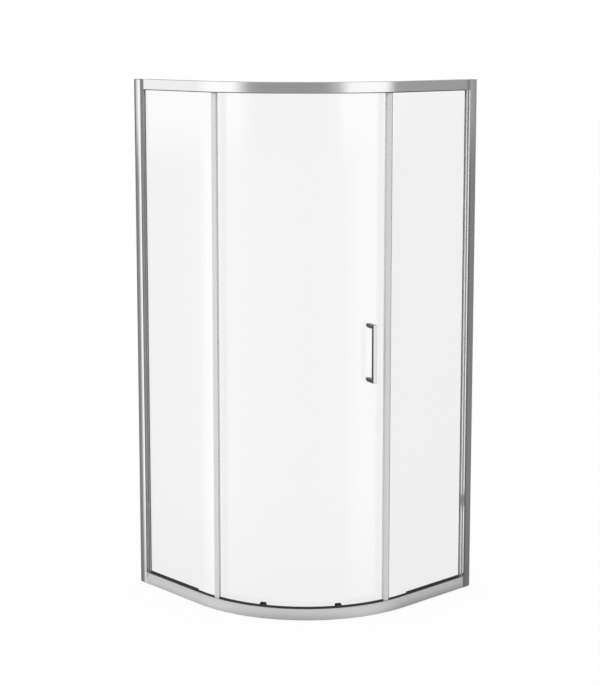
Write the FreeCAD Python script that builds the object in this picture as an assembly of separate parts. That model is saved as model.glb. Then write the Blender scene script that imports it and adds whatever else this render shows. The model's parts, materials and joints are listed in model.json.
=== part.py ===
import FreeCAD, Part
import math
import os

Vector = FreeCAD.Vector

# Quadrant corner shower enclosure: two fixed glass panels, one curved sliding door.
# Left and right are as seen from outside, facing the door. All lengths are in millimetres.

# Overall size
reach = 884.0                  # wall plane to the outer face of each straight panel
height = 1900.0
bend_radius = 528.0            # outer radius of the curved corner

# Curved top and bottom rails
rail_wall = 2.0
face_recess = 9.0              # rail face behind the face of the wall channel
fascia_chamber = 2.0           # hollow between the rail face and the glazing groove
top_rail_height = 39.0
bottom_rail_height = 38.0
knee_height = 16.0             # where the front of the bottom rail starts to lean back
knee_share = 0.95              # of the upright front below it taken up by its rounding
edge_fall = 3.2                # bevel along the lower edge of the top rail: height
edge_set = 1.3                 # and depth
port_height = 6.0              # solid strip that takes the end screws
track_rise = 7.0               # running track above the lower edge of the top rail
lip_height = 1.5
lip_width = 1.2
bottom_web_height = 28.0
kerb_height = 16.0             # inner edge of the guide channel
kerb_wall = 1.6
drain_length = 20.0
drain_height = 4.0
drain_angles = (-36.0, -12.0, 12.0, 36.0)

# Glass and rubber
glass = 6.0
gasket = 1.3
seat_gap = 0.2                 # between glass, rubber and metal that sit together
lift_gap = 2.0                 # play above the fixed panes
block_height = 2.5
block_length = 60.0
gasket_show = 6.5              # rubber standing above the bottom rail beside the strips
bead_show = 8.5                # along the straight runs
infill_show = 5.0              # and across the doorway
bead_setback = 30.0            # bead ends this far before the curve starts
infill_leg = 12.0
infill_wall = 1.5
jamb_gasket_show = 2.2

# Wall channels and jambs
channel_depth = 37.0
channel_wall = 2.0
channel_face = 5.0             # crowned outer wall at its thickest
channel_round = 1.0            # edge beside the jamb
crown_radius = 105.0           # across the outer wall, full height
crown_line = 24.0              # highest line of the crown, from the wall
jamb_start = 10.0              # jamb tongue, from the wall
jamb_wall = 1.7
jamb_show = 4.5                # jamb face beyond the wall channel
jamb_grip = 8.0                # glazing groove behind the edge of the wall channel
shoulder = 2.0
slide_gap = 0.3
cap_plate = 2.0
cap_plug = 8.0
wall_hole_radius = 2.5
wall_hole_margin = 150.0
wall_hole_count = 4

# Upright strips on the free edges of the fixed panes
edge_angle = 35.5              # free edge from the middle of the curve, in degrees
strip_width = 21.0
strip_wall = 1.6
strip_gap = 0.5                # strip to rail and rubber
strike_reach = 8.0             # strike beyond the end of the right strip
strike_grip = 9.0              # its flange on the back of the strip
fin = 1.6

# Sliding door
sway = 2.4                     # sideways play of the rollers in the rails
sway_margin = 0.6
roller_angle = 15.5            # rollers and guides from the middle of the door, in degrees
door_floor_gap = 8.0           # door glass above the bottom of the guide channel
top_margin = 15.0              # glass above the roller bolts
tail_width = 16.0
seal_nose = 4.0
seal_grip = 4.0
seal_wall = 1.3
meet_gap = 1.0                 # between the door seals and the fixed strips

# Top rollers
wheel_radius = 9.0
wheel_width = 5.0
bearing_radius = 5.5
bolt_radius = 3.0
bolt_head_radius = 5.0
bolt_head = 2.0
run_gap = 0.3                  # wheel to track
side_gap = 0.3                 # wheel to its neighbours on the bolt
fit_gap = 0.05                 # turning and pressed round fits
spacer_radius = 6.2
bush_wall = 2.8
roller_cap_radius = 9.0
roller_cap = 6.0
roller_cap_round = 2.0
stop_length = 18.0
stop_height = 12.0
stop_gap = 1.0

# Bottom guides
guide_wheel_radius = 4.0
guide_wheel_height = 7.0
guide_lift = 2.5               # wheel above the floor of the channel
guide_pin_radius = 1.6
guide_pin_head = 1.2
guide_pin_head_radius = 2.8
guide_pin_grip = 9.0
guide_base = 30.0
guide_top = 20.0
guide_height = 27.0
guide_screw_radius = 2.0
guide_screw_head_radius = 4.0
guide_screw_head = 2.2
guide_screw_grip = 9.0

# Handle
handle_angle = 28.5            # from the middle of the door, in degrees
handle_middle = 951.0          # height of its middle
handle_length = 208.0
handle_bar = 14.0
handle_reach = 51.0            # glass to the front of the bar
handle_round = 1.2
washer = 1.0
washer_radius = 6.5
sleeve_wall = 1.2
handle_screw_radius = 2.5
handle_screw_head_radius = 4.6
handle_screw_head = 3.0
handle_screw_grip = 16.0
handle_cap_wall = 1.2

# Small screws of the frame
rail_screw_radius = 1.6
rail_screw_head_radius = 3.0
rail_screw_head = 2.0
rail_screw_grip = 18.0
jamb_screw_radius = 1.8
jamb_screw_head_radius = 3.4
jamb_screw_head = 2.0
jamb_screw_count = 3
jamb_screw_margin = 120.0
screw_cap_wall = 1.0

overrun = 5.0                  # how far cutting tools pass the metal

# Places worked out from the sizes above
quarter_turn = 90.0
bend_half = quarter_turn / 2
half = reach / 2
straight = reach - bend_radius
up = Vector(0, 0, 1)
outward = Vector(1, 0, 0)
diagonal = Vector(1, -1, 0).normalize()
bend_centre = Vector(half - bend_radius, bend_radius - half, 0)

# Offsets inwards from the outer face, through the section of the rails
groove_s = face_recess + fascia_chamber + 2 * rail_wall
glass_s = groove_s + gasket + 2 * seat_gap
glass_back_s = glass_s + glass
web_s = glass_back_s + gasket + 2 * seat_gap
channel_s = web_s + rail_wall
sway_room = sway + sway_margin
bolt_head_s = channel_s + sway_room
wheel_s = bolt_head_s + bolt_head + side_gap
wheel_end_s = wheel_s + wheel_width
lip_s = wheel_end_s + sway_room
ledge_s = lip_s + lip_width
guide_s = channel_s + sway_room + guide_wheel_radius
upstand_s = guide_s + guide_wheel_radius + sway_room
kerb_s = upstand_s + kerb_wall
door_s = max(ledge_s, kerb_s) + sway_room
door_back_s = door_s + glass
strip_s = glass_s - seat_gap - strip_wall
strip_back_s = glass_back_s + seat_gap + strip_wall
middle_s = (groove_s + web_s) / 2

# Heights
top_rail_low = height - top_rail_height
track_z = top_rail_low + track_rise
axle_z = track_z + run_gap + wheel_radius
groove_floor = rail_wall + port_height
groove_roof = height - rail_wall - port_height
pane_low = groove_floor + block_height + gasket + 2 * seat_gap
pane_high = groove_roof - lift_gap - gasket - seat_gap
strip_low = bottom_rail_height + strip_gap
strip_high = top_rail_low - strip_gap
door_low = rail_wall + door_floor_gap
door_high = axle_z + top_margin
guide_wheel_low = rail_wall + guide_lift
guide_low = kerb_height + 2 * sway_margin
guide_screw_z = guide_low + guide_height / 2

# The door turns about an upright axis set back on the diagonal, so that its rollers
# wander by no more than the sway while they pass from the curve on to the straight run.
pivot_setback = 2 * sway / (1 - math.cos(math.radians(bend_half)))
pivot = bend_centre - diagonal * pivot_setback


def radial(s):
    return bend_radius - s


def door_radial(s):
    return radial(s) + pivot_setback - sway


def arc_degrees(length, radius):
    return math.degrees(length / radius)


# Bearing about the door pivot of a line at a bearing about the bend, at one offset.
def door_bearing(bend_bearing, s, shift):
    sideways = radial(s) * math.sin(math.radians(bend_bearing)) + shift
    return math.degrees(math.asin(sideways / door_radial(s)))


wheel_middle_s = (wheel_s + wheel_end_s) / 2
past_bend = math.degrees(math.acos(
    (radial(wheel_middle_s) + pivot_setback * math.cos(math.radians(bend_half)) - sway)
    / door_radial(wheel_middle_s)))
travel = bend_half + past_bend - roller_angle


# Closed wire through corners given as (u, v, radius), put in space by a function.
def outline(corners, place):
    arcs = []
    for index, (u, v, radius) in enumerate(corners):
        here = Vector(u, v, 0)
        if not radius:
            arcs.append((here, None, here))
            continue
        before = Vector(*corners[index - 1][:2], 0) - here
        after = Vector(*corners[(index + 1) % len(corners)][:2], 0) - here
        half_angle = before.getAngle(after) / 2
        run = radius / math.tan(half_angle)
        rise = radius / math.sin(half_angle) - radius
        middle = here + (before.normalize() + after.normalize()).normalize() * rise
        arcs.append((here + before * run, middle, here + after * run))
    edges = []
    for index, (start, middle, end) in enumerate(arcs):
        if middle is not None:
            edges.append(Part.Arc(place(start), place(middle), place(end)).toShape())
        following = arcs[(index + 1) % len(arcs)][0]
        edges.append(Part.makeLine(place(end), place(following)))
    return Part.Wire(edges)


# Section of a rail, in the plane where the left straight run meets the curve.
def rail_face(corners):
    return Part.Face(outline(corners, lambda p: Vector(bend_centre.x, p.x - half, p.y)))


def box_corners(low_u, high_u, low_v, high_v):
    return [(low_u, low_v, 0), (high_u, low_v, 0), (high_u, high_v, 0), (low_u, high_v, 0)]


# Trough section round the edge of a pane; its two lips reach along the second axis.
def trough_corners(base, mouth, back_mouth):
    wall = math.copysign(gasket, mouth - base)
    inner = base + wall
    return [(groove_s + seat_gap, base, 0), (web_s - seat_gap, base, 0),
            (web_s - seat_gap, back_mouth, 0), (glass_back_s + seat_gap, back_mouth, 0),
            (glass_back_s + seat_gap, inner, 0), (glass_s - seat_gap, inner, 0),
            (glass_s - seat_gap, mouth, 0), (groove_s + seat_gap, mouth, 0)]


def left_run(face, start, end):
    moved = face.copy()
    moved.translate(Vector(start - straight, 0, 0))
    return moved.extrude(Vector(end - start, 0, 0))


def bend_run(face, start, end):
    turned = face.copy()
    turned.rotate(bend_centre, up, start + bend_half)
    return turned.revolve(bend_centre, up, end - start)


def mirrored(shape):
    return shape.mirror(Vector(0, 0, 0), Vector(1, 1, 0))


def joined(shapes):
    return shapes[0].multiFuse(shapes[1:]).removeSplitter()


def whole_rail(face, start):
    left = left_run(face, start, straight)
    return joined([left, bend_run(face, -bend_half, bend_half), mirrored(left)])


# Upright extrusion by the left wall: u from the wall, v inwards from the outer face.
def left_upright(corners, low, high):
    face = Part.Face(outline(corners, lambda p: Vector(p.x - half, p.y - half, low)))
    return face.extrude(up * (high - low))


# Shapes round an upright axis are drawn with that axis at zero and outwards along X.
def swung(shape, centre, bearing):
    placed = shape.copy()
    placed.rotate(Vector(0, 0, 0), up, bearing - bend_half)
    placed.translate(centre)
    return placed


def sector(inner, outer, low, high, start, end):
    corners = [Vector(inner, 0, low), Vector(outer, 0, low),
               Vector(outer, 0, high), Vector(inner, 0, high)]
    face = Part.Face(Part.makePolygon(corners + corners[:1]))
    block = face.revolve(Vector(0, 0, 0), up, end - start)
    block.rotate(Vector(0, 0, 0), up, start)
    return block


def bend_sector(outer_s, inner_s, low, high, start, end):
    return swung(sector(radial(inner_s), radial(outer_s), low, high, start, end), bend_centre, 0)


def door_sector(outer_s, inner_s, low, high, start, end):
    return swung(sector(door_radial(inner_s), door_radial(outer_s), low, high, start, end), pivot, 0)


# Round bar along the outward axis of the door, between two offsets.
def door_rod(radius, outer_s, inner_s, z):
    base = Vector(door_radial(inner_s), 0, z)
    return Part.makeCylinder(radius, inner_s - outer_s, base, outward)


def door_tube(radius, bore, outer_s, inner_s, z):
    return door_rod(radius, outer_s, inner_s, z).cut(
        door_rod(bore, outer_s - overrun, inner_s + overrun, z))


def door_places(shape, bearings):
    return [swung(shape, pivot, bearing) for bearing in bearings]


nodes = {}


def pair(name, left):
    nodes[name + "_left"] = left
    nodes[name + "_right"] = mirrored(left)


def group(shapes):
    return Part.makeCompound(shapes)


# Top rail: fascia, glazing groove and, behind its web, the running track of the rollers
rail_round = rail_wall / 2
top_face = rail_face([
    (face_recess, top_rail_low + edge_fall, rail_round),
    (face_recess + edge_set, top_rail_low, 0), (groove_s, top_rail_low, 0),
    (groove_s, groove_roof, 0), (web_s, groove_roof, 0),
    (web_s, track_z - rail_wall, 0), (ledge_s, track_z - rail_wall, 0),
    (ledge_s, track_z + lip_height, 0), (lip_s, track_z + lip_height, 0),
    (lip_s, track_z, 0), (channel_s, track_z, 0),
    (channel_s, height - rail_wall, 0), (ledge_s, height - rail_wall, 0),
    (ledge_s, height, rail_round), (face_recess, height, rail_round)])
fascia_hollow = rail_face(box_corners(face_recess + rail_wall, groove_s - rail_wall,
                                      top_rail_low + edge_fall + rail_wall, height - rail_wall))
top_rail = whole_rail(top_face, channel_depth).cut(whole_rail(fascia_hollow, channel_depth))

# Bottom rail: hollow leaning front, glazing groove and guide channel with drain slots
lean = math.atan2(face_recess, bottom_rail_height - knee_height)
knee_round = knee_share * (knee_height - rail_round) / math.tan(lean / 2)
hollow_s = rail_wall + rail_round
hollow_end_s = groove_s - rail_wall
front_hollow = rail_face([
    (hollow_s, rail_wall, 0), (hollow_end_s, rail_wall, 0),
    (hollow_end_s, (knee_height + bottom_rail_height) / 2, 0), (hollow_s, knee_height, 0)])
bottom_face = rail_face([
    (0, 0, rail_round), (0, knee_height, knee_round), (face_recess, bottom_rail_height, rail_round),
    (groove_s, bottom_rail_height, rail_round), (groove_s, groove_floor, 0),
    (web_s, groove_floor, 0), (web_s, bottom_web_height, 0),
    (channel_s, bottom_web_height, 0), (channel_s, rail_wall, 0),
    (upstand_s, rail_wall, 0), (upstand_s, kerb_height, 0),
    (kerb_s, kerb_height, 0), (kerb_s, 0, 0)])
bottom_rail = whole_rail(bottom_face, channel_depth).cut(whole_rail(front_hollow, channel_depth))
drain = Part.makeBox(kerb_wall + 2 * overrun, drain_length, drain_height,
                     Vector(radial(kerb_s) - overrun, -drain_length / 2, rail_wall))
bottom_rail = bottom_rail.cut(group([swung(drain, bend_centre, angle) for angle in drain_angles]))


# End screws of the rails, drawn along the left run through the shoulder of the jamb
def left_rod(radius, start, end, z):
    return Part.makeCylinder(radius, end - start, Vector(start - half, middle_s - half, z), outward)


port_heights = (rail_wall + port_height / 2, height - rail_wall - port_height / 2)
jamb_groove = channel_depth - jamb_grip
shoulder_start = jamb_groove - shoulder
screw_holes = [left_rod(rail_screw_radius + fit_gap, shoulder_start - overrun,
                        channel_depth + rail_screw_grip + overrun, z) for z in port_heights]
rail_screws = []
for z in port_heights:
    head = left_rod(rail_screw_head_radius, shoulder_start - rail_screw_head, shoulder_start, z)
    shank = left_rod(rail_screw_radius, shoulder_start, channel_depth + rail_screw_grip, z)
    rail_screws.append(joined([head, shank]))
nodes["top_rail"] = top_rail.cut(group([screw_holes[1], mirrored(screw_holes[1])]))
nodes["bottom_rail"] = bottom_rail.cut(group([screw_holes[0], mirrored(screw_holes[0])]))
nodes["rail_screws"] = group(rail_screws + [mirrored(screw) for screw in rail_screws])

# Jambs: tongue inside the wall channel, glazing groove beyond it, notched for the rails
jamb_s = face_recess + slide_gap
jamb_end = channel_depth + jamb_show
jamb_high = height - cap_plate - seat_gap
jamb = left_upright([
    (jamb_start, jamb_s, 0), (jamb_end, jamb_s, 0), (jamb_end, groove_s, 0),
    (jamb_groove, groove_s, 0), (jamb_groove, web_s, 0), (jamb_end, web_s, 0),
    (jamb_end, channel_s, 0), (jamb_start, channel_s, 0)], 0, jamb_high)
jamb_hollow = left_upright(box_corners(jamb_start + jamb_wall, shoulder_start,
                                       jamb_s + jamb_wall, channel_s - jamb_wall), -overrun, height)
notch_corners = box_corners(channel_depth, jamb_end + overrun, jamb_s - overrun, channel_s + overrun)
notches = [left_upright(notch_corners, -overrun, bottom_rail_height + seat_gap),
           left_upright(notch_corners, top_rail_low - seat_gap, height + overrun)]
jamb = jamb.cut(group([jamb_hollow] + notches + screw_holes))

# Wall channels, with the fixing holes in their backs
channel_in_s = channel_s + slide_gap
channel_end_s = channel_in_s + channel_wall
channel_high = height - cap_plate
wall_channel = left_upright([
    (0, 0, 0), (channel_depth, 0, channel_round), (channel_depth, face_recess, 0),
    (channel_depth - channel_wall, face_recess, 0), (channel_depth - channel_wall, channel_face, 0),
    (channel_wall, channel_face, 0), (channel_wall, channel_in_s, 0),
    (channel_depth, channel_in_s, 0), (channel_depth, channel_end_s, 0), (0, channel_end_s, 0)],
    0, channel_high)
crown = Part.makeCylinder(crown_radius, height, Vector(crown_line - half, crown_radius - half, 0))
wall_channel = wall_channel.common(crown)
wall_hole_s = (channel_face + channel_in_s) / 2
wall_hole_pitch = (height - 2 * wall_hole_margin) / (wall_hole_count - 1)
wall_holes = []
for index in range(wall_hole_count):
    base = Vector(-half - overrun, wall_hole_s - half, wall_hole_margin + index * wall_hole_pitch)
    wall_holes.append(Part.makeCylinder(wall_hole_radius, channel_wall + 2 * overrun, base, outward))

# Screws that lock the jamb in its channel, each under a snap-on cap
inward = Vector(0, 1, 0)
jamb_screw_t = (jamb_start + shoulder_start) / 2
jamb_screw_tip_s = channel_s - jamb_wall - seat_gap
jamb_screw_pitch = (height - 2 * jamb_screw_margin) / (jamb_screw_count - 1)


def inward_rod(radius, start_s, end_s, z):
    base = Vector(jamb_screw_t - half, start_s - half, z)
    return Part.makeCylinder(radius, end_s - start_s, base, inward)


jamb_screws = []
jamb_screw_caps = []
jamb_screw_holes = []
cap_radius = jamb_screw_head_radius + seat_gap + screw_cap_wall
cap_in_s = channel_end_s + jamb_screw_head + seat_gap
for index in range(jamb_screw_count):
    z = jamb_screw_margin + index * jamb_screw_pitch
    shank = inward_rod(jamb_screw_radius, jamb_screw_tip_s, channel_end_s, z)
    head = inward_rod(jamb_screw_head_radius, channel_end_s, channel_end_s + jamb_screw_head, z)
    jamb_screws.append(joined([shank, head]))
    cup = inward_rod(cap_radius, channel_end_s, cap_in_s + screw_cap_wall, z)
    room = inward_rod(jamb_screw_head_radius + seat_gap, channel_end_s - overrun, cap_in_s, z)
    jamb_screw_caps.append(cup.cut(room))
    jamb_screw_holes.append(
        inward_rod(jamb_screw_radius + fit_gap, jamb_screw_tip_s - overrun, channel_end_s + overrun, z))
pair("jamb", jamb.cut(group(jamb_screw_holes)))
pair("wall_channel", wall_channel.cut(group(wall_holes + jamb_screw_holes)))
nodes["jamb_screws"] = group(jamb_screws + [mirrored(screw) for screw in jamb_screws])
nodes["jamb_screw_caps"] = group(jamb_screw_caps + [mirrored(cap) for cap in jamb_screw_caps])

# Caps that close the tops of the wall channels
cap_lid = left_upright(box_corners(0, channel_depth, 0, channel_end_s), channel_high, height)
cap_tail = left_upright(box_corners(channel_wall + seat_gap, jamb_start - seat_gap,
                                    channel_face + seat_gap, channel_in_s - seat_gap),
                        channel_high - cap_plug, channel_high)
pair("channel_cap", joined([cap_lid.common(crown), cap_tail]))

# Fixed panes: flat run and curved end
pane_start = jamb_groove + gasket + 2 * seat_gap
strip_turn = arc_degrees(strip_width, radial(strip_s))
pane_edge = edge_angle + arc_degrees(strip_wall + seat_gap, radial(glass_s))
pane_face = rail_face(box_corners(glass_s, glass_back_s, pane_low, pane_high))
pair("fixed_glass", joined([left_run(pane_face, pane_start, straight),
                            bend_run(pane_face, -bend_half, -pane_edge)]))

# Rubber troughs round the panes. The bottom one stands up as a bead along the flat run,
# lower on the curve, and lies flush with the rail under the upright strip.
trough_start = jamb_end + jamb_gasket_show + seat_gap
trough_low = pane_low - seat_gap - gasket
strip_end = edge_angle + strip_turn
lip_end = strip_end + arc_degrees(strip_gap, radial(groove_s))
bead_top = bottom_rail_height + bead_show
bead_face = rail_face(trough_corners(trough_low, bead_top, bead_top))
low_face = rail_face(trough_corners(trough_low, bottom_rail_height + gasket_show, bottom_rail_height))
flush_face = rail_face(trough_corners(trough_low, bottom_rail_height, bottom_rail_height))
pair("bottom_gasket", joined([left_run(bead_face, trough_start, straight - bead_setback),
                              left_run(low_face, straight - bead_setback, straight),
                              bend_run(low_face, -bend_half, -lip_end),
                              bend_run(flush_face, -lip_end, -pane_edge)]))
roof_face = rail_face(trough_corners(pane_high + seat_gap + gasket, top_rail_low, top_rail_low))
pair("top_gasket", joined([left_run(roof_face, trough_start, straight),
                           bend_run(roof_face, -bend_half, -pane_edge)]))
side_mouth = jamb_end + jamb_gasket_show
side_corners = [(t, s, round_off) for s, t, round_off
                in trough_corners(jamb_groove + seat_gap, side_mouth, side_mouth)]
pair("jamb_gasket", left_upright(side_corners, bottom_rail_height + 2 * seat_gap,
                                 top_rail_low - 2 * seat_gap))
block_face = rail_face(box_corners(groove_s + seat_gap, web_s - seat_gap,
                                   groove_floor, groove_floor + block_height))
setting_blocks = []
for start in (trough_start, straight - block_length):
    setting_blocks.append(left_run(block_face, start, start + block_length))
pair("setting_blocks", group(setting_blocks))

# Infill strip that closes the glazing groove across the doorway
infill_top = bottom_rail_height + infill_show
infill_out_s = groove_s + seat_gap
infill_in_s = web_s - seat_gap
infill_low = infill_top - infill_leg
infill_under = infill_top - infill_wall
infill_face = rail_face([
    (infill_out_s, infill_low, 0), (infill_out_s, infill_top, infill_wall / 2),
    (infill_in_s, infill_top, infill_wall / 2), (infill_in_s, infill_low, 0),
    (infill_in_s - infill_wall, infill_low, 0), (infill_in_s - infill_wall, infill_under, 0),
    (infill_out_s + infill_wall, infill_under, 0), (infill_out_s + infill_wall, infill_low, 0)])
infill_edge = edge_angle - arc_degrees(strip_gap, radial(middle_s))
nodes["threshold_infill"] = bend_run(infill_face, -infill_edge, infill_edge)

# Upright edge strips on the panes
strip = bend_sector(strip_s, strip_back_s, strip_low, strip_high, -strip_end, -edge_angle)
strip_slot = bend_sector(glass_s - seat_gap, glass_back_s + seat_gap, strip_low - overrun,
                         strip_high + overrun, -strip_end - strip_turn,
                         -pane_edge + arc_degrees(seat_gap, radial(glass_s)))
pair("edge_strip", strip.cut(strip_slot))

# Soft seals on the backs of the strips: a fin on the left, an angled strike for the door on the right
fin_s = strip_back_s + seat_gap
fin_end_s = door_s - sway_room
fin_turn = arc_degrees(fin, radial(fin_end_s))
nodes["edge_fin_left"] = bend_sector(fin_s, fin_end_s, strip_low, strip_high,
                                     -strip_end, -strip_end + fin_turn)
strike_end = strip_end + arc_degrees(strike_reach, radial(fin_s))
strike_face = strike_end - fin_turn
strike_flange = bend_sector(fin_s, fin_s + fin, strip_low, strip_high,
                            strip_end - arc_degrees(strike_grip, radial(fin_s)), strike_end)
strike = bend_sector(fin_s, fin_end_s, strip_low, strip_high, strike_face, strike_end)
nodes["strike_seal_right"] = joined([strike_flange, strike])

# Door glass, from the closing seal on the right to the tail strip on the left
seal_out_s = door_s - seat_gap - seal_wall
seal_back_s = door_back_s + seat_gap + seal_wall
nose_end = door_bearing(strike_face, door_s, -meet_gap)
door_right = nose_end - arc_degrees(seal_nose, door_radial(door_s))
tail_fin_end = door_bearing(-strip_end, fin_end_s, -meet_gap)
tail_fin_turn = arc_degrees(fin, door_radial(fin_end_s))
tail_turn = arc_degrees(tail_width, door_radial(door_s))
tail_start = tail_fin_end - tail_fin_turn / 2 - tail_turn
tail_end = tail_start + tail_turn
tail_wall_turn = arc_degrees(strip_wall, door_radial(door_s))
door_gap_turn = arc_degrees(seat_gap, door_radial(door_s))
door_left = tail_start + tail_wall_turn + door_gap_turn
door_glass = door_sector(door_s, door_back_s, door_low, door_high, door_left, door_right)

sleeve_radius = handle_screw_radius + fit_gap + sleeve_wall
bush_radius = bolt_radius + fit_gap + bush_wall
handle_low = handle_middle - handle_length / 2
handle_high = handle_middle + handle_length / 2
leg_heights = (handle_low + handle_bar / 2, handle_high - handle_bar / 2)
roller_bearings = (-roller_angle, roller_angle)


def door_hole(radius, z):
    return door_rod(radius, door_s - overrun, door_back_s + overrun, z)


door_holes = door_places(door_hole(bush_radius + fit_gap, axle_z), roller_bearings)
door_holes += door_places(door_hole(guide_screw_radius + seat_gap, guide_screw_z), roller_bearings)
for z in leg_heights:
    door_holes += door_places(door_hole(sleeve_radius + fit_gap, z), (handle_angle,))
nodes["door_glass"] = door_glass.cut(group(door_holes))

# Strip on the tail of the door, its fin, and the closing seal on the other edge
tail = door_sector(door_s - seat_gap - strip_wall, door_back_s + seat_gap + strip_wall,
                   strip_low, strip_high, tail_start, tail_end)
tail_slot = door_sector(door_s - seat_gap, door_back_s + seat_gap, strip_low - overrun,
                        strip_high + overrun, tail_start + tail_wall_turn, tail_end + tail_turn)
nodes["door_tail_strip"] = tail.cut(tail_slot)
nodes["door_tail_fin"] = door_sector(strip_back_s + sway_room, door_s - strip_wall - 2 * seat_gap,
                                     strip_low, strip_high, tail_fin_end - tail_fin_turn, tail_fin_end)
nose_start = door_right - arc_degrees(seal_grip, door_radial(door_s))
nose = door_sector(seal_out_s, seal_back_s, strip_low, strip_high, nose_start, nose_end)
nose_slot = door_sector(door_s - seat_gap, door_back_s + seat_gap, strip_low - overrun,
                        strip_high + overrun, nose_start - tail_turn, door_right + door_gap_turn)
nodes["door_closing_seal"] = nose.cut(nose_slot)

# Top rollers: wheel on a bearing, bolt through the glass, dome cap inside the enclosure
bolt_end_s = door_back_s + roller_cap / 2
bolt = joined([door_rod(bolt_radius, bolt_head_s, bolt_end_s, axle_z),
               door_rod(bolt_head_radius, bolt_head_s, bolt_head_s + bolt_head, axle_z)])
bearing_ring = door_tube(bearing_radius, bolt_radius + fit_gap, wheel_s, wheel_end_s, axle_z)
wheel = door_tube(wheel_radius, bearing_radius + fit_gap, wheel_s, wheel_end_s, axle_z)
spacer = door_tube(spacer_radius, bolt_radius + fit_gap, wheel_end_s + side_gap, door_s - seat_gap, axle_z)
bush = door_tube(bush_radius, bolt_radius + fit_gap, door_s, door_back_s, axle_z)
cap_out_s = door_back_s + seat_gap
roller_dome = door_rod(roller_cap_radius, cap_out_s, cap_out_s + roller_cap, axle_z)
dome_middle = door_radial(cap_out_s + roller_cap / 2)
dome_edges = [edge for edge in roller_dome.Edges if edge.BoundBox.XMax < dome_middle]
roller_dome = roller_dome.makeFillet(roller_cap_round, dome_edges)
roller_dome = roller_dome.cut(door_rod(bolt_radius + fit_gap, cap_out_s - overrun,
                                       bolt_end_s + fit_gap, axle_z))
for side, bearing in zip(("left", "right"), roller_bearings):
    nodes["roller_bolt_" + side] = swung(bolt, pivot, bearing)
    nodes["roller_bearing_" + side] = swung(bearing_ring, pivot, bearing)
    nodes["roller_wheel_" + side] = swung(wheel, pivot, bearing)
nodes["roller_spacers"] = group(door_places(spacer, roller_bearings))
nodes["roller_bushes"] = group(door_places(bush, roller_bearings))
nodes["roller_caps"] = group(door_places(roller_dome, roller_bearings))

# Rubber stops on the track at both ends of the travel
stop_out_s = channel_s + seat_gap
stop_in_s = lip_s - seat_gap
stop_face = rail_face(box_corners(stop_out_s, stop_in_s, track_z, track_z + stop_height))
open_bearing = math.radians(-bend_half - roller_angle - travel)
open_wheel = pivot.x + door_radial(wheel_middle_s) * math.cos(open_bearing)
stop_end = open_wheel + half - wheel_radius - stop_gap
nodes["open_stop"] = left_run(stop_face, stop_end - stop_length, stop_end)
closed_bearing = math.radians(roller_angle)
closed_side = door_radial(wheel_middle_s) * math.sin(closed_bearing)
closed_ahead = door_radial(wheel_middle_s) * math.cos(closed_bearing) - pivot_setback
stop_start = math.degrees(math.atan2(closed_side, closed_ahead))
stop_start += arc_degrees(wheel_radius + stop_gap, radial(wheel_middle_s))
nodes["closed_stop"] = bend_run(stop_face, stop_start,
                                stop_start + arc_degrees(stop_length, radial(wheel_middle_s)))

# Bottom guides: tapered block on the glass, with a wheel on a pin in the guide channel
block_out = door_radial(channel_s + sway_room)
block_in = door_radial(door_s - seat_gap)
block_wire = Part.makePolygon([
    Vector(block_in, -guide_base / 2, guide_low), Vector(block_in, guide_base / 2, guide_low),
    Vector(block_in, guide_top / 2, guide_low + guide_height),
    Vector(block_in, -guide_top / 2, guide_low + guide_height),
    Vector(block_in, -guide_base / 2, guide_low)])
block = Part.Face(block_wire).extrude(outward * (block_out - block_in))
block = block.cut(sector(block_in - overrun, block_in, guide_low - overrun,
                         guide_low + guide_height + overrun, -bend_half, bend_half))


def guide_rod(radius, low, high):
    return Part.makeCylinder(radius, high - low, Vector(door_radial(guide_s), 0, low), up)


pin_top = guide_low + guide_pin_grip
pin_low = guide_wheel_low - side_gap - guide_pin_head
pin = joined([guide_rod(guide_pin_radius, pin_low, pin_top),
              guide_rod(guide_pin_head_radius, pin_low, guide_wheel_low - side_gap)])
guide_wheel = guide_rod(guide_wheel_radius, guide_wheel_low, guide_wheel_low + guide_wheel_height)
guide_wheel = guide_wheel.cut(guide_rod(guide_pin_radius + fit_gap, guide_wheel_low - overrun, pin_top))
screw_tip_s = door_s - guide_screw_grip
screw_head_s = door_back_s + seat_gap
guide_screw = joined([door_rod(guide_screw_radius, screw_tip_s, screw_head_s, guide_screw_z),
                      door_rod(guide_screw_head_radius, screw_head_s, screw_head_s + guide_screw_head,
                               guide_screw_z)])
block = block.cut(group([
    guide_rod(guide_pin_radius + fit_gap, guide_low - overrun, pin_top + fit_gap),
    door_rod(guide_screw_radius + fit_gap, screw_tip_s - fit_gap, door_s + overrun, guide_screw_z)]))
for side, bearing in zip(("left", "right"), roller_bearings):
    nodes["guide_block_" + side] = swung(block, pivot, bearing)
    nodes["guide_pin_" + side] = swung(pin, pivot, bearing)
    nodes["guide_wheel_" + side] = swung(guide_wheel, pivot, bearing)
nodes["guide_screws"] = group(door_places(guide_screw, roller_bearings))

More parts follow.
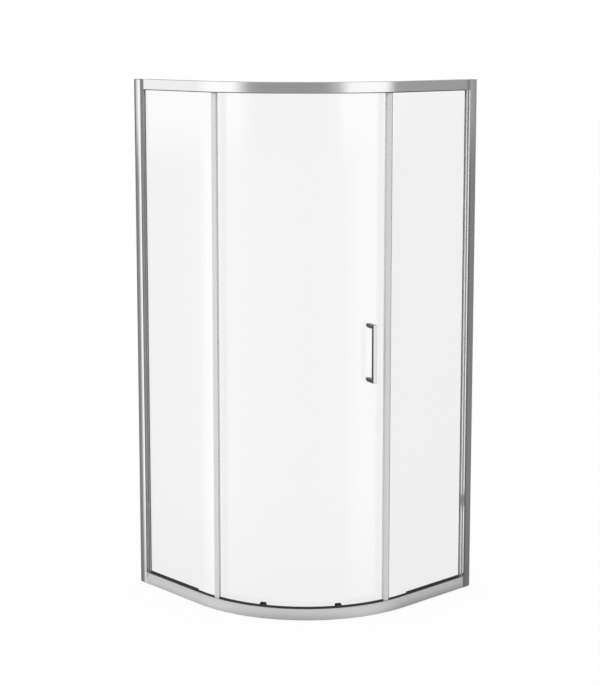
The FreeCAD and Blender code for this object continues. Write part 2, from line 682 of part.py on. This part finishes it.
# Bow handle of square bar, screwed on through the glass
handle_in = door_radial(door_s - washer - 2 * seat_gap)
handle_out = door_radial(door_s) + handle_reach
bar_in = handle_out - handle_bar
bow_corners = [(handle_in, handle_low, 0), (handle_out, handle_low, handle_round),
               (handle_out, handle_high, handle_round), (handle_in, handle_high, 0),
               (handle_in, handle_high - handle_bar, 0), (bar_in, handle_high - handle_bar, 0),
               (bar_in, handle_low + handle_bar, 0), (handle_in, handle_low + handle_bar, 0)]
bow = Part.Face(outline(bow_corners, lambda p: Vector(p.x, -handle_bar / 2, p.y)))
bow = bow.extrude(Vector(0, handle_bar, 0))
washer_back_s = door_back_s + washer + 2 * seat_gap
head_back_s = washer_back_s + handle_screw_head
grip_s = door_s - handle_screw_grip
washers, sleeves, screws, caps = [], [], [], []
cup_radius = handle_screw_head_radius + seat_gap + handle_cap_wall
for z in leg_heights:
    bow = bow.cut(door_rod(handle_screw_radius + fit_gap, grip_s - fit_gap, door_s, z))
    for out_s in (door_s - washer - seat_gap, door_back_s + seat_gap):
        washers.append(door_tube(washer_radius, handle_screw_radius + fit_gap, out_s, out_s + washer, z))
    sleeves.append(door_tube(sleeve_radius, handle_screw_radius + fit_gap, door_s, door_back_s, z))
    screws.append(joined([door_rod(handle_screw_radius, grip_s, head_back_s, z),
                          door_rod(handle_screw_head_radius, washer_back_s, head_back_s, z)]))
    cup = door_rod(cup_radius, washer_back_s, head_back_s + seat_gap + handle_cap_wall, z)
    room = door_rod(cup_radius - handle_cap_wall, washer_back_s - overrun, head_back_s + seat_gap, z)
    caps.append(cup.cut(room))
nodes["handle"] = swung(bow, pivot, handle_angle)
for name, shapes in (("handle_washers", washers), ("handle_sleeves", sleeves),
                     ("handle_screws", screws), ("handle_caps", caps)):
    nodes[name] = group([swung(shape, pivot, handle_angle) for shape in shapes])

os.makedirs("parts", exist_ok=True)
for name, shape in nodes.items():
    shape.exportStep("parts/" + name + ".step")
print("nodes", len(nodes), "pivot", pivot, "travel in degrees", travel)
print("wheel path", door_radial(wheel_middle_s), "guide path", door_radial(guide_s), "axle height", axle_z)
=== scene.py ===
import json
import math

import bmesh
import bpy
from mathutils import Matrix, Vector


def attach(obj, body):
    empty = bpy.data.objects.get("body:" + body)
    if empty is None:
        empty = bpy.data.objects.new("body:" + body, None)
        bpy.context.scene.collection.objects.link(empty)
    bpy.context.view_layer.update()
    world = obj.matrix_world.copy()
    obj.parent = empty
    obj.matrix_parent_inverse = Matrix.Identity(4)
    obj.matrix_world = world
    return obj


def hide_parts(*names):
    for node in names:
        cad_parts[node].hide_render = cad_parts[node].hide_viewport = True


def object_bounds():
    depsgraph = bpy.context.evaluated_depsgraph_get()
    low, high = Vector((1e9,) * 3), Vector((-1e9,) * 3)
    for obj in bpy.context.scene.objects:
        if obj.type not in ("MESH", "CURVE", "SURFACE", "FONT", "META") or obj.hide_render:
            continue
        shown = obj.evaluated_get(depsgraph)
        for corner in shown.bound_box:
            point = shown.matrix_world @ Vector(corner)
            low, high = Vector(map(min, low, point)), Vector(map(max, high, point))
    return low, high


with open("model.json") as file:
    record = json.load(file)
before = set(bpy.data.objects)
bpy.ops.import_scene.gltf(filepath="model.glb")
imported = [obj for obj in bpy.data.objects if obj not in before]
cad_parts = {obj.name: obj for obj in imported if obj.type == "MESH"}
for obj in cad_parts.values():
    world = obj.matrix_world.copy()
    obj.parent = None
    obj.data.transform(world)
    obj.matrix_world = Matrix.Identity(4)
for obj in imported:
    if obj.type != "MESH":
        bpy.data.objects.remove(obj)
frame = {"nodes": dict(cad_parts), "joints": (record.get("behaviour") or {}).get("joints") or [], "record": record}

cadLow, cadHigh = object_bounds()
nodes = frame["nodes"]
joints = {joint["name"]: joint for joint in frame["joints"]}
scene = bpy.context.scene
scene.view_settings.view_transform = "Standard"
mm = 0.001
doorAzimuth = -45        # the middle of the door faces this way in plan, in degrees from X
print("frame loaded:", len(nodes), "nodes")


def linearColour(hexCode):
    channels = [int(hexCode[i:i + 2], 16) / 255 for i in (1, 3, 5)]
    return [c / 12.92 if c <= 0.04045 else ((c + 0.055) / 1.055) ** 2.4 for c in channels] + [1.0]


# Colourless light of that strength
def greyLight(level):
    return (level, level, level, 1)


# Adds one node: settings fill its sockets or its own properties, links join sockets to its inputs
def addNode(tree, kind, settings=None, links=None):
    node = tree.nodes.new(kind)
    for key, value in (settings or {}).items():
        if isinstance(key, int) or key in node.inputs:
            node.inputs[key].default_value = value
        else:
            setattr(node, key, value)
    for key, socket in (links or {}).items():
        tree.links.new(socket, node.inputs[key])
    return node


mixShare, mixFirst, mixSecond, mixResult = 0, 6, 7, 2        # a Mix node's sockets when it mixes colours


def newMaterial(name):
    material = bpy.data.materials.new(name)
    material.use_nodes = True
    tree = material.node_tree
    tree.nodes.clear()
    shader = addNode(tree, "ShaderNodeBsdfPrincipled")
    addNode(tree, "ShaderNodeOutputMaterial", links={"Surface": shader.outputs["BSDF"]})
    coords = addNode(tree, "ShaderNodeTexCoord").outputs["Object"]
    return material, tree, shader, coords


# How often a pattern of that real size repeats in a metre
def perMetre(sizeInMm):
    return 1000 / sizeInMm


# Lets a noise vary colour, gloss and height between two ends each
def varySurface(tree, shader, noise, colours, roughness, bumpStrength, bumpMm):
    usualLow, usualHigh = 0.3, 0.7        # most of a noise's values lie between these
    tint = addNode(tree, "ShaderNodeMix", {"data_type": "RGBA", mixFirst: linearColour(colours[0]),
                                           mixSecond: linearColour(colours[1])},
                   {mixShare: noise.outputs["Fac"]})
    rough = addNode(tree, "ShaderNodeMapRange", {"From Min": usualLow, "From Max": usualHigh,
                                                 "To Min": roughness[0], "To Max": roughness[1]},
                    {"Value": noise.outputs["Fac"]})
    bump = addNode(tree, "ShaderNodeBump", {"Strength": bumpStrength, "Distance": bumpMm * mm},
                   {"Height": noise.outputs["Fac"]})
    tree.links.new(tint.outputs[mixResult], shader.inputs["Base Color"])
    tree.links.new(rough.outputs["Result"], shader.inputs["Roughness"])
    tree.links.new(bump.outputs["Normal"], shader.inputs["Normal"])


# Polished metal: mirror-like, with soft drawn lines along its length that vary the gloss a little.
# Real drawing lines are too fine for the render, so these are drawn as coarse as they need to show.
def polishedMetal(name, dull, bright, roughness, lineMm, alongMm, levelRun=False, lineDepth=0.01):
    lineHeightMm = 0.05
    material, tree, shader, coords = newMaterial(name)
    across, along = perMetre(lineMm), perMetre(alongMm)
    scales = (along, along, across) if levelRun else (across, across, along)
    mapped = addNode(tree, "ShaderNodeMapping", {"Scale": scales}, {"Vector": coords})
    lines = addNode(tree, "ShaderNodeTexNoise", {"Scale": 1.0, "Detail": 3.0, "Roughness": 0.6},
                    {"Vector": mapped.outputs["Vector"]})
    shader.inputs["Metallic"].default_value = 1.0
    varySurface(tree, shader, lines, (dull, bright), roughness, lineDepth, lineHeightMm)
    return material


# Clear toughened float glass: faint grey body, sharp reflections with a slight roller wave
def clearGlass():
    finish = {"colour": "#F9F9F9", "ior": 1.5, "roughness": 0.0, "waveMm": 260, "waveDepth": 0.01,
              "waveHeightMm": 0.1}
    material, tree, shader, coords = newMaterial("clear toughened float glass")
    wave = addNode(tree, "ShaderNodeTexNoise", {"Scale": perMetre(finish["waveMm"]), "Detail": 1.0},
                   {"Vector": coords})
    bump = addNode(tree, "ShaderNodeBump",
                   {"Strength": finish["waveDepth"], "Distance": finish["waveHeightMm"] * mm},
                   {"Height": wave.outputs["Fac"]})
    shader.inputs["Base Color"].default_value = linearColour(finish["colour"])
    shader.inputs["IOR"].default_value = finish["ior"]
    shader.inputs["Roughness"].default_value = finish["roughness"]
    shader.inputs["Transmission Weight"].default_value = 1.0
    tree.links.new(bump.outputs["Normal"], shader.inputs["Normal"])
    return material


# A plastic, a rubber or a painted coat with a fine grain in its surface and a slight mottle in its colour.
# Real mould grain is finer than this; it is drawn as coarse as it needs to show.
def grainedSolid(name, dark, light, roughness, grainMm, grainDepth, ior=1.5, transmission=0.0):
    grainHeightMm = 0.1
    material, tree, shader, coords = newMaterial(name)
    grain = addNode(tree, "ShaderNodeTexNoise", {"Scale": perMetre(grainMm), "Detail": 4.0},
                    {"Vector": coords})
    shader.inputs["IOR"].default_value = ior
    shader.inputs["Transmission Weight"].default_value = transmission
    varySurface(tree, shader, grain, (dark, light), roughness, grainDepth, grainHeightMm)
    return material


# Bright grey band that mirrors the panels as soft steps of light along the bend
railMetal = polishedMetal("bright aluminium rail", "#DFDFDF", "#E9E9E9", (0.09, 0.14), 3, 400, True)
# Even pale grey without sharp reflections
sillMetal = polishedMetal("satin aluminium bottom rail", "#DFDFDF", "#E9E9E9", (0.46, 0.52), 3, 400, True)
# Crisp light and dark stripes down the folds of the wall profiles
uprightMetal = polishedMetal("bright aluminium upright", "#DFDFDF", "#E9E9E9", (0.06, 0.10), 3, 400)
# Near mirror: light front faces beside dark sides
chrome = polishedMetal("chrome plated brass", "#DADADA", "#E4E4E4", (0.04, 0.08), 6, 60)
# Darker grey with fine lines that break up the shine
steel = polishedMetal("turned stainless steel", "#B8B8B8", "#C8C8C8", (0.2, 0.32), 0.8, 30, lineDepth=0.05)
# Almost nothing but a faint grey where panes overlap, and a weak sheen at a slant
glass = clearGlass()
# Soft near-black line with hardly any shine
rubber = grainedSolid("black extruded rubber", "#242424", "#303030", (0.5, 0.7), 1.2, 0.3)
# Quiet mid-grey line beside the bright uprights
greyRubber = grainedSolid("grey extruded rubber", "#AAAAAA", "#B6B6B6", (0.35, 0.45), 1.2, 0.05)
# Deeper black than the rubber, with a dull sheen on its rounded edges
blackNylon = grainedSolid("black moulded nylon", "#101010", "#1A1A1A", (0.45, 0.6), 1.5, 0.3)
# Milky white with a soft sheen
whiteNylon = grainedSolid("white moulded nylon", "#D8D8D5", "#ECECE9", (0.35, 0.5), 1.5, 0.2)
# Plain mid-grey moulding, finely pebbled
greyPlastic = grainedSolid("grey moulded plastic", "#858585", "#959595", (0.4, 0.55), 1.5, 0.3)
# Flat light silver that keeps its tone from every side
silverCoat = grainedSolid("silver coated aluminium", "#CECECE", "#D8D8D8", (0.3, 0.4), 2.5, 0.02)
# Slightly cloudy, seen mainly by its bright edges
clearVinyl = grainedSolid("clear extruded vinyl", "#EDEDED", "#F6F6F6", (0.08, 0.2), 4, 0.1, 1.53, 0.9)

slotFinish = {"bright_aluminium": uprightMetal, "chrome_plate": chrome, "clear_glass": glass,
              "black_rubber": rubber, "grey_rubber": greyRubber, "clear_pvc": clearVinyl,
              "black_nylon": blackNylon, "white_nylon": whiteNylon, "stainless_steel": steel,
              "grey_plastic": greyPlastic}
# Nodes that look different from the rest of their slot
nodeFinish = {"top_rail": railMetal, "bottom_rail": sillMetal, "edge_strip_left": silverCoat,
              "edge_strip_right": silverCoat, "door_tail_strip": silverCoat}
for part in frame["record"]["subparts"]:
    node = nodes[part["node"]]
    node.data.materials.clear()
    node.data.materials.append(nodeFinish.get(part["node"], slotFinish[part["material_slot"]]))
    node.visible_shadow = part["material_slot"] not in ("clear_glass", "clear_pvc")     # these let light by

pivot = Vector(joints["door_slide"]["pos_m"])
halfPlan = cadHigh.x        # from the middle of the square plan to each wall


# Place about the door's upright axis, at a bearing from the door's middle: X outwards, Y to the right, Z up
def doorFrame(bearing, radiusMm, heightMm):
    axis = Matrix.Translation((pivot.x, pivot.y, 0))
    turn = Matrix.Rotation(math.radians(bearing + doorAzimuth), 4, "Z")
    return axis @ turn @ Matrix.Translation((radiusMm * mm, 0, heightMm * mm))


# Distance in mm of a joint of the door from that axis, and its height
def doorPlace(jointName):
    spot = Vector(joints[jointName]["pos_m"])
    return (spot - pivot).xy.length / mm, spot.z / mm


glassRadii = [(v.co - pivot).xy.length / mm for v in nodes["door_glass"].data.vertices]
doorFront, doorBack = max(glassRadii), min(glassRadii)        # faces of the door glass from that axis

meshFinish = {"weldMm": 0.01, "crispAngle": 40, "spinSteps": 48, "nearMm": 0.1}


# Finishes a mesh as a named piece that rides on a body in place of CAD nodes
def addPiece(name, mesh, body, slotName, *replaced):
    bmesh.ops.remove_doubles(mesh, verts=mesh.verts[:], dist=meshFinish["weldMm"] * mm)
    bmesh.ops.recalc_face_normals(mesh, faces=mesh.faces[:])
    for edge in mesh.edges:
        edge.smooth = edge.calc_face_angle(0) < math.radians(meshFinish["crispAngle"])
    data = bpy.data.meshes.new(name)
    mesh.to_mesh(data)
    mesh.free()
    data.materials.append(slotFinish[slotName])
    piece = bpy.data.objects.new(name, data)
    scene.collection.objects.link(piece)
    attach(piece, body)
    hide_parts(*replaced)


# Spins a profile of (distance along X, radius) corners in mm about a place's X; a closed one makes a ring
def spinProfile(mesh, corners, place, closed=False):
    rim = [mesh.verts.new(place @ Vector((along * mm, 0, radius * mm))) for along, radius in corners]
    following = rim[1:] + rim[:1] if closed else rim[1:]
    edges = [mesh.edges.new(ends) for ends in zip(rim, following)]
    bmesh.ops.spin(mesh, geom=rim + edges, cent=place.translation, axis=place.to_3x3() @ Vector((1, 0, 0)),
                   angle=math.tau, steps=meshFinish["spinSteps"], use_merge=True)
    for face in mesh.faces:
        face.smooth = True


# Bevels edges; only the new rounding is shaded smooth, so flat sides stay true mirrors
def roundEdges(mesh, edges, width, segments):
    made = bmesh.ops.bevel(mesh, geom=edges, offset=width * mm, offset_type="OFFSET", segments=segments,
                           profile=0.5, affect="EDGES", material=-1, clamp_overlap=True)
    for face in made["faces"]:
        face.smooth = True


# Edges other than those at X zero, where a piece meets the door
def freeEdges(mesh):
    return [e for e in mesh.edges if any(v.co.x > meshFinish["nearMm"] * mm for v in e.verts)]


# Bow handle of square bar: one outline pushed out sideways, with softened corners but square feet
bow = {"bearing": 28.5, "washer": 1.4, "reach": 51, "low": 847, "tall": 208, "bar": 14, "softness": 0.9,
       "segments": 3}
mesh = bmesh.new()
reach = bow["reach"] - bow["washer"]
tall, bar = bow["tall"], bow["bar"]
outline = [(0, 0), (reach, 0), (reach, tall), (0, tall), (0, tall - bar), (reach - bar, tall - bar),
           (reach - bar, bar), (0, bar)]
nearSide = mesh.faces.new([mesh.verts.new((x * mm, -bar / 2 * mm, z * mm)) for x, z in outline])
pushed = bmesh.ops.extrude_face_region(mesh, geom=[nearSide])["geom"]
farSide = [item for item in pushed if isinstance(item, bmesh.types.BMVert)]
bmesh.ops.translate(mesh, vec=(0, bar * mm, 0), verts=farSide)
roundEdges(mesh, freeEdges(mesh), bow["softness"], bow["segments"])
place = doorFrame(bow["bearing"], doorFront + bow["washer"], bow["low"])
bmesh.ops.transform(mesh, matrix=place, verts=mesh.verts[:])
addPiece("handleBow", mesh, "door", "chrome_plate", "handle")

# Turned caps over the handle screws, inside the door: (inwards from the glass, radius) with a dished face
handleCap = {"heights": (854, 1048),
             "corners": [(4.6, 0), (4.6, 4.8), (1.4, 4.8), (1.4, 6.0), (4.4, 6.0), (5.2, 5.6), (5.7, 4.9),
                         (5.8, 4.1), (5.5, 2.6), (5.4, 0)]}
inwards = Matrix.Rotation(math.pi, 4, "Z")
mesh = bmesh.new()
for heightMm in handleCap["heights"]:
    spinProfile(mesh, handleCap["corners"], doorFrame(bow["bearing"], doorBack, heightMm) @ inwards)
addPiece("handleCaps", mesh, "door", "chrome_plate", "handle_caps")
print("handle made")

# Roller fittings: dome caps with a ring groove inside the door, grooved wheels and bearings on the track
roller = {"bearings": {"Left": -15.5, "Right": 15.5},
          "cap": [(2.9, 0), (2.9, 3.1), (0.2, 3.1), (0.2, 9.0), (4.0, 9.0), (5.0, 8.7), (5.8, 7.9),
                  (6.1, 6.9), (6.1, 6.4), (5.6, 6.1), (5.6, 5.5), (6.1, 5.2), (6.2, 0)],
          "wheel": [(-2.5, 5.55), (-2.5, 6.4), (-2.0, 6.8), (-2.0, 7.6), (-2.5, 8.0), (-2.2, 8.7),
                    (-1.6, 9.0), (1.6, 9.0), (2.2, 8.7), (2.5, 8.0), (2.0, 7.6), (2.0, 6.8), (2.5, 6.4),
                    (2.5, 5.55)],
          "ring": [(-2.5, 3.05), (-2.5, 3.7), (-2.2, 3.8), (-2.2, 4.8), (-2.5, 4.9), (-2.5, 5.5),
                   (2.5, 5.5), (2.5, 4.9), (2.2, 4.8), (2.2, 3.8), (2.5, 3.7), (2.5, 3.05)]}
mesh = bmesh.new()
rollerRadius, rollerHeight = doorPlace("roller_spin_left")
for bearing in roller["bearings"].values():
    spinProfile(mesh, roller["cap"], doorFrame(bearing, doorBack, rollerHeight) @ inwards)
addPiece("rollerCaps", mesh, "door", "chrome_plate", "roller_caps")
for side, bearing in roller["bearings"].items():
    place = doorFrame(bearing, rollerRadius, rollerHeight)
    body = "roller_" + side.lower()
    for shape, cadName, slotName in (("wheel", "roller_wheel_", "white_nylon"),
                                     ("ring", "roller_bearing_", "stainless_steel")):
        mesh = bmesh.new()
        spinProfile(mesh, roller[shape], place, closed=True)
        addPiece("roller" + shape.capitalize() + side, mesh, body, slotName, cadName + side.lower())
print("rollers made")

# Bottom guides: tapered block with a sunk face, and a barrel wheel that stands in the guide channel
guide = {"gap": 0.21, "depth": 15.39, "low": 17.2, "tall": 27, "base": 30, "top": 20, "softness": 1.0,
         "segments": 2, "frame": 2.2, "sunk": 0.8,
         "wheel": [(-3.5, 1.65), (-3.5, 2.9), (-3.1, 3.5), (-2.2, 3.9), (0, 4.0), (2.2, 3.9), (3.1, 3.5),
                   (3.5, 2.9), (3.5, 1.65)]}
standing = Matrix.Rotation(-math.pi / 2, 4, "Y")        # turns X upright
guideRadius, guideHeight = doorPlace("guide_spin_left")
for side, bearing in roller["bearings"].items():
    mesh = bmesh.new()
    block = bmesh.ops.create_cube(mesh, size=1.0)["verts"]
    bmesh.ops.translate(mesh, vec=(0.5, 0, 0.5), verts=block)        # back at X zero, foot at Z zero
    bmesh.ops.scale(mesh, vec=(guide["depth"] * mm, guide["base"] * mm, guide["tall"] * mm), verts=block)
    upper = [v for v in block if v.co.z > guide["tall"] / 2 * mm]
    bmesh.ops.scale(mesh, vec=(1, guide["top"] / guide["base"], 1), verts=upper)
    roundEdges(mesh, freeEdges(mesh), guide["softness"], guide["segments"])
    front = [max(mesh.faces, key=lambda f: f.calc_center_median().x)]
    bmesh.ops.inset_region(mesh, faces=front, thickness=guide["frame"] * mm, depth=-guide["sunk"] * mm)
    place = doorFrame(bearing, doorFront + guide["gap"], guide["low"])
    bmesh.ops.transform(mesh, matrix=place, verts=mesh.verts[:])
    addPiece("guideBlock" + side, mesh, "door", "black_nylon", "guide_block_" + side.lower())
    mesh = bmesh.new()
    spinProfile(mesh, guide["wheel"], doorFrame(bearing, guideRadius, guideHeight) @ standing, closed=True)
    addPiece("guideWheel" + side, mesh, "guide_" + side.lower(), "white_nylon", "guide_wheel_" + side.lower())
print("guides made")

# Snap-on caps over the jamb screws, inside the wall channels: (inwards from the channel's back, radius)
screwCap = {"fromWall": 18.5, "channelBack": 28.7, "heights": (120, 950, 1780),
            "corners": [(2.2, 0), (2.2, 3.6), (0, 3.6), (0, 4.6), (1.9, 4.6), (2.7, 4.2), (3.1, 3.4),
                        (3.2, 2.2), (3.2, 0)]}
# From the left wall to the back wall
mirrorPlan = Matrix(((0, -1, 0, 0), (-1, 0, 0, 0), (0, 0, 1, 0), (0, 0, 0, 1)))
facingIn = Matrix.Rotation(math.pi / 2, 4, "Z")
mesh = bmesh.new()
for heightMm in screwCap["heights"]:
    spot = (-halfPlan + screwCap["fromWall"] * mm, -halfPlan + screwCap["channelBack"] * mm, heightMm * mm)
    place = Matrix.Translation(spot) @ facingIn
    spinProfile(mesh, screwCap["corners"], place)
    spinProfile(mesh, screwCap["corners"], mirrorPlan @ place)
addPiece("jambScrewCaps", mesh, "frame", "grey_plastic", "jamb_screw_caps")
print("caps made")

# Camera at the photograph's viewpoint
viewpoint = {"place": (4.4305, -4.0911, 2.0573), "yaw": 137.4426, "pitch": -8.2436, "lens": 86.579,
             "sensor": 36, "rise": -0.10, "farthest": 200}
camera = bpy.data.objects.new("camera", bpy.data.cameras.new("camera"))
scene.collection.objects.link(camera)
yaw, pitch = math.radians(viewpoint["yaw"]), math.radians(viewpoint["pitch"])
ahead = Vector((math.cos(pitch) * math.cos(yaw), math.cos(pitch) * math.sin(yaw), math.sin(pitch)))
camera.location = viewpoint["place"]
camera.rotation_euler = ahead.to_track_quat("-Z", "Y").to_euler()
camera.data.lens = viewpoint["lens"]
camera.data.sensor_width = viewpoint["sensor"]
camera.data.shift_y = viewpoint["rise"]
camera.data.clip_end = viewpoint["farthest"]
scene.camera = camera

# Studio world: white behind the object, soft light panels round it for metal to mirror.
# Each list gives (bearing from the middle of the door, right is positive; level there), and each From
# the slope of a ray, as its height over its length, at which that band starts and is full.
studio = {
    "floor": [(-180, 0.40), (-125, 0.10), (-110, 0.16), (-60, 0.26), (0, 0.32), (60, 0.32), (80, 0.10),
              (110, 0.12), (140, 0.40)],
    "sides": [(-180, 0.45), (-140, 0.30), (-124, 0.06), (-118, 0.26), (-104, 0.32), (-97, 0.62), (-90, 1.1),
              (-86, 1.45), (-79, 1.4), (-70, 0.80), (-40, 0.60), (0, 0.50), (35, 0.55), (47, 1.05),
              (64, 1.05), (71, 0.35), (77, 0.18), (84, 0.15), (90, 0.27), (118, 0.26), (150, 0.45)],
    "panels": [(-180, 0.40), (-140, 0.30), (-124, 0.06), (-118, 0.16), (-112, 0.45), (-101, 1.1),
               (-75, 1.3), (-58, 1.3), (-44, 0.45), (-34, 0.37), (0, 0.36), (17, 0.38), (28, 0.62),
               (37, 1.25), (70, 1.25), (79, 0.46), (93, 0.42), (122, 0.34), (150, 0.40)],
    "upper": [(-180, 0.30), (-140, 0.35), (-120, 0.5), (-100, 0.78), (-50, 0.80), (0, 0.80), (60, 0.78),
              (90, 0.70), (120, 0.45), (150, 0.30)],
    "sidesFrom": (-0.40, -0.27), "panelsFrom": (-0.08, -0.05), "upperFrom": (0.026, 0.14),
    "ceilingFrom": (0.5, 0.8), "ceiling": 0.7, "fill": 0.8}
world = bpy.data.worlds.new("studio")
scene.world = world
world.use_nodes = True
tree = world.node_tree
tree.nodes.clear()
direction = addNode(tree, "ShaderNodeTexCoord").outputs["Generated"]
facing = addNode(tree, "ShaderNodeMapping", {"Rotation": (0, 0, -math.radians(doorAzimuth))},
                 {"Vector": direction})
around = addNode(tree, "ShaderNodeTexGradient", {"gradient_type": "RADIAL"},
                 {"Vector": facing.outputs["Vector"]})
height = addNode(tree, "ShaderNodeSeparateXYZ", links={"Vector": direction})
bands = {}
for band in ("floor", "sides", "panels", "upper"):
    ramp = addNode(tree, "ShaderNodeValToRGB", links={"Fac": around.outputs["Fac"]})
    stops = ramp.color_ramp.elements
    stops.remove(stops[1])
    for index, (angle, level) in enumerate(studio[band]):
        stop = stops.new(0.5 + angle / 360) if index else stops[0]
        stop.color = greyLight(level)
    bands[band] = ramp.outputs["Color"]
shown = bands["floor"]
for band in ("sides", "panels", "upper", "ceiling"):
    low, high = studio[band + "From"]
    rise = addNode(tree, "ShaderNodeMapRange", {"From Min": low, "From Max": high},
                   {"Value": height.outputs["Z"]})
    blend = addNode(tree, "ShaderNodeMix", {"data_type": "RGBA", mixSecond: greyLight(studio["ceiling"])},
                    {mixShare: rise.outputs["Result"], mixFirst: shown})
    if band in bands:
        tree.links.new(bands[band], blend.inputs[mixSecond])
    shown = blend.outputs[mixResult]


# Adds a Light Path, with a socket that is 1 for what is seen straight or through the glass
def seenDirectly(tree):
    path = addNode(tree, "ShaderNodeLightPath")
    seen = addNode(tree, "ShaderNodeMath", {"operation": "MAXIMUM"},
                   {0: path.outputs["Is Camera Ray"], 1: path.outputs["Is Transmission Ray"]})
    return path, seen.outputs["Value"]


path, seen = seenDirectly(tree)
white = addNode(tree, "ShaderNodeMix", {"data_type": "RGBA", mixFirst: greyLight(studio["fill"]),
                                        mixSecond: greyLight(1)}, {mixShare: seen})
final = addNode(tree, "ShaderNodeMix", {"data_type": "RGBA"},
                {mixShare: path.outputs["Glossy Depth"],        # once mirrored, the panels
                 mixFirst: white.outputs[mixResult], mixSecond: shown})
background = addNode(tree, "ShaderNodeBackground", links={"Color": final.outputs[mixResult]})
addNode(tree, "ShaderNodeOutputWorld", links={"Surface": background.outputs["Background"]})

# Pale floor, white to the eye and through the glass, still taking the object's shadow.
# Metal doesn't mirror it: the lower part of the studio world stands in for it there.
ground = {"size": 60.0, "colour": "#F4F4F4", "glow": 0.88, "level": 1.0}
plane = bmesh.new()
bmesh.ops.create_grid(plane, x_segments=1, y_segments=1, size=ground["size"] / 2)
floor = bpy.data.objects.new("floor", bpy.data.meshes.new("floor"))
plane.to_mesh(floor.data)
plane.free()
scene.collection.objects.link(floor)
floorPaint = bpy.data.materials.new("pale studio floor")
floorPaint.use_nodes = True
tree = floorPaint.node_tree
tree.nodes.clear()
matt = addNode(tree, "ShaderNodeBsdfDiffuse", {"Color": linearColour(ground["colour"])})
path, seen = seenDirectly(tree)
share = addNode(tree, "ShaderNodeMath", {"operation": "MULTIPLY", 1: ground["glow"]}, {0: seen})
glow = addNode(tree, "ShaderNodeEmission", {"Color": greyLight(1), "Strength": ground["level"]})
both = addNode(tree, "ShaderNodeMixShader",
               links={0: share.outputs["Value"], 1: matt.outputs["BSDF"], 2: glow.outputs["Emission"]})
absent = addNode(tree, "ShaderNodeBsdfTransparent")
painted = addNode(tree, "ShaderNodeMixShader",
                  links={0: path.outputs["Glossy Depth"],        # once mirrored, no floor
                         1: both.outputs["Shader"], 2: absent.outputs["BSDF"]})
addNode(tree, "ShaderNodeOutputMaterial", links={"Surface": painted.outputs["Shader"]})
floor.data.materials.append(floorPaint)

lamp = {"strength": 1.0, "spread": 70, "tilt": (35, 0, 20)}
sun = bpy.data.objects.new("soft overhead light", bpy.data.lights.new("soft overhead light", "SUN"))
sun.data.energy = lamp["strength"]
sun.data.angle = math.radians(lamp["spread"])
sun.rotation_euler = [math.radians(a) for a in lamp["tilt"]]
sun.visible_glossy = False        # metal mirrors the panels alone
scene.collection.objects.link(sun)
print("camera, world, floor and light set")
